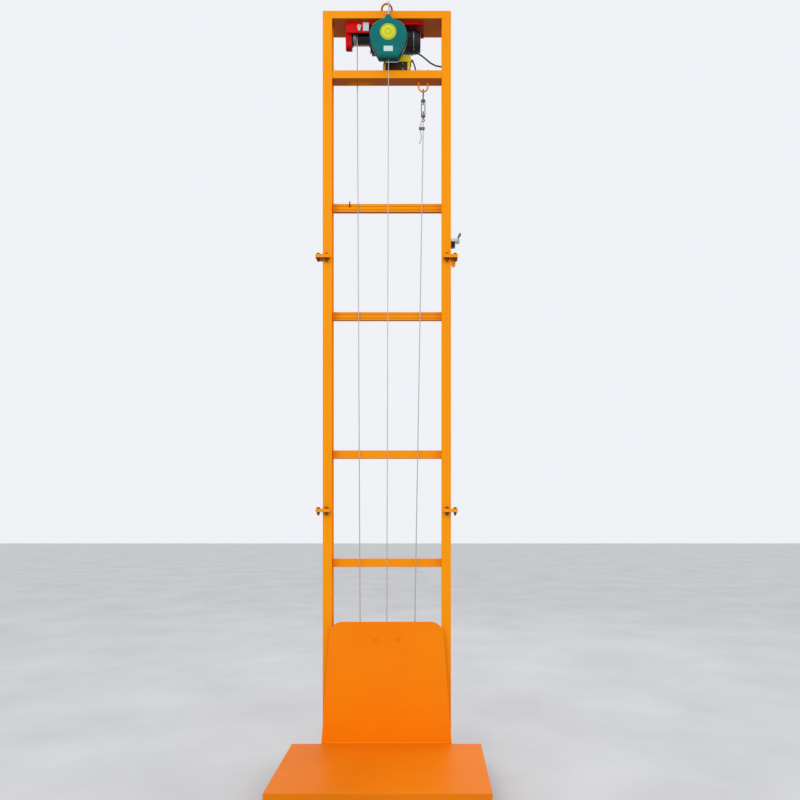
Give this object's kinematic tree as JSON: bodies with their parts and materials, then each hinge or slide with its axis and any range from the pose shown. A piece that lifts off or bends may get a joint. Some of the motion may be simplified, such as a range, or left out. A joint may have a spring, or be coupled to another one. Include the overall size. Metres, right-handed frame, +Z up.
{
  "type": "drywall lift",
  "caption": "Vertical ladder-track lift: bolted mast with electric rope hoist and fall arrester in its head, and a roller carriage with a flat platform.",
  "frame": {"origin": "on the floor, at the middle of the mast's front plane", "axes": "+Z up along the mast, -Y towards the platform, +X to the right seen from the platform side"},
  "size_m": [1.11, 0.975, 4.4977],
  "materials": {
    "orange_paint": "semi-gloss orange paint",
    "red_paint": "semi-gloss red paint",
    "black_enamel": "black enamel",
    "dark_plastic": "dark moulded plastic",
    "yellow_plastic": "yellow moulded plastic",
    "teal_plastic": "teal moulded plastic",
    "zinc_steel": "zinc-plated steel",
    "wire_rope": "galvanised wire rope",
    "rubber": "black rubber",
    "cable_jacket": "black cable jacket",
    "nylon": "grey nylon"
  },
  "bodies": {
    "mast": {"base_frame": "orange_paint", "left_buffer": "rubber", "right_buffer": "rubber", "lower_left_post": "orange_paint", "lower_right_post": "orange_paint", "middle_left_post": "orange_paint", "middle_right_post": "orange_paint", "upper_left_post": "orange_paint", "upper_right_post": "orange_paint", "lower_rung_1": "orange_paint", "lower_rung_2": "orange_paint", "middle_rung_1": "orange_paint", "middle_rung_2": "orange_paint", "upper_rung": "orange_paint", "lug_bolt_1": "zinc_steel", "lug_bolt_2": "zinc_steel", "lug_bolt_3": "zinc_steel", "lug_bolt_4": "zinc_steel", "head_hood": "orange_paint", "head_beam": "orange_paint", "hanging_ring": "orange_paint", "hoist_frame": "red_paint", "drum_end_housing": "red_paint", "hoist_gearbox": "black_enamel", "hoist_motor": "black_enamel", "motor_fan_cover": "black_enamel", "control_box": "dark_plastic", "control_box_cover": "yellow_plastic", "arrester_swivel": "zinc_steel", "u_bolt": "orange_paint", "turnbuckle_hook": "zinc_steel", "turnbuckle_eye": "zinc_steel", "rope_clip": "zinc_steel", "limit_switch_body": "black_enamel", "limit_switch_head": "zinc_steel", "hoist_rope_left": "wire_rope", "hoist_rope_right": "wire_rope", "arrester_rope": "wire_rope", "motor_cable": "cable_jacket", "control_cable": "cable_jacket"},
    "carriage": {"back_plate": "orange_paint", "platform_deck": "orange_paint", "platform_frame": "orange_paint", "carriage_frame": "orange_paint", "rope_bracket": "zinc_steel", "hoist_rope_cross": "wire_rope"},
    "rope_drum": {"rope_drum": "black_enamel"},
    "rope_stop_lever": {"rope_stop_lever": "zinc_steel"},
    "arrester": {"arrester_front_shell": "teal_plastic", "arrester_rear_shell": "teal_plastic"},
    "arrester_reel": {"arrester_reel": "zinc_steel"},
    "turnbuckle_body": {"turnbuckle_body": "zinc_steel"},
    "limit_switch_lever": {"limit_switch_lever": "zinc_steel"},
    "limit_switch_roller": {"limit_switch_roller": "nylon"},
    "left_sheave": {"left_sheave": "zinc_steel"},
    "right_sheave": {"right_sheave": "zinc_steel"},
    "upper_left_roller": {"upper_left_roller": "nylon"},
    "upper_right_roller": {"upper_right_roller": "nylon"},
    "lower_left_roller": {"lower_left_roller": "nylon"},
    "lower_right_roller": {"lower_right_roller": "nylon"}
  },
  "joints": [
    {"name": "carriage_lift", "type": "slide", "parent": "mast", "child": "carriage", "axis": [0, 0, 1], "range_m": [0, 2.95], "deforming": ["hoist_rope_left", "hoist_rope_right", "arrester_rope"]},
    {"name": "drum_spin", "type": "hinge", "parent": "mast", "child": "rope_drum", "pos_m": [-0.166, 0.093, 4.352], "axis": [1, 0, 0], "continuous": true},
    {"name": "rope_stop_tilt", "type": "hinge", "parent": "mast", "child": "rope_stop_lever", "pos_m": [-0.166, 0.0245, 4.388], "axis": [0, 1, 0], "range_deg": [-20, 20], "stiffness_Nm_per_rad": 0.05},
    {"name": "arrester_turn", "type": "hinge", "parent": "mast", "child": "arrester", "pos_m": [0.0125, -0.0235, 4.391], "axis": [0, 0, 1], "range_deg": [-8, 8]},
    {"name": "reel_spin", "type": "hinge", "parent": "arrester", "child": "arrester_reel", "pos_m": [0.0125, -0.0505, 4.273], "axis": [0, 1, 0], "continuous": true},
    {"name": "turnbuckle_turn", "type": "hinge", "parent": "mast", "child": "turnbuckle_body", "pos_m": [0.215, 0.04, 3.903], "axis": [0, 0, 1], "range_deg": [-180, 180]},
    {"name": "limit_lever_tilt", "type": "hinge", "parent": "mast", "child": "limit_switch_lever", "pos_m": [0.4214, -0.03, 3.0956], "axis": [0, 1, 0], "range_deg": [-45, 60], "stiffness_Nm_per_rad": 0.06},
    {"name": "limit_roller_spin", "type": "hinge", "parent": "limit_switch_lever", "child": "limit_switch_roller", "pos_m": [0.4291, -0.063, 3.108], "axis": [0, 1, 0], "continuous": true},
    {"name": "left_sheave_spin", "type": "hinge", "parent": "carriage", "child": "left_sheave", "pos_m": [-0.1155, 0.0265, 0.695], "axis": [0, 1, 0], "continuous": true},
    {"name": "right_sheave_spin", "type": "hinge", "parent": "carriage", "child": "right_sheave", "pos_m": [0.118, 0.0265, 0.695], "axis": [0, 1, 0], "continuous": true},
    {"name": "upper_left_roller_spin", "type": "hinge", "parent": "carriage", "child": "upper_left_roller", "pos_m": [-0.35, 0.04, 0.74], "axis": [1, 0, 0], "continuous": true},
    {"name": "upper_right_roller_spin", "type": "hinge", "parent": "carriage", "child": "upper_right_roller", "pos_m": [0.35, 0.04, 0.74], "axis": [1, 0, 0], "continuous": true},
    {"name": "lower_left_roller_spin", "type": "hinge", "parent": "carriage", "child": "lower_left_roller", "pos_m": [-0.35, 0.04, 0.165], "axis": [1, 0, 0], "continuous": true},
    {"name": "lower_right_roller_spin", "type": "hinge", "parent": "carriage", "child": "lower_right_roller", "pos_m": [0.35, 0.04, 0.165], "axis": [1, 0, 0], "continuous": true}
  ],
  "couplings": [
    {"joint": "drum_spin", "follows": "carriage_lift", "rad_per_m": 55.556},
    {"joint": "reel_spin", "follows": "carriage_lift", "rad_per_m": 19.048},
    {"joint": "left_sheave_spin", "follows": "carriage_lift", "rad_per_m": 22.222},
    {"joint": "right_sheave_spin", "follows": "carriage_lift", "rad_per_m": 22.222},
    {"joint": "upper_left_roller_spin", "follows": "carriage_lift", "rad_per_m": 27.397},
    {"joint": "upper_right_roller_spin", "follows": "carriage_lift", "rad_per_m": 27.397},
    {"joint": "lower_left_roller_spin", "follows": "carriage_lift", "rad_per_m": -27.397},
    {"joint": "lower_right_roller_spin", "follows": "carriage_lift", "rad_per_m": -27.397}
  ]
}
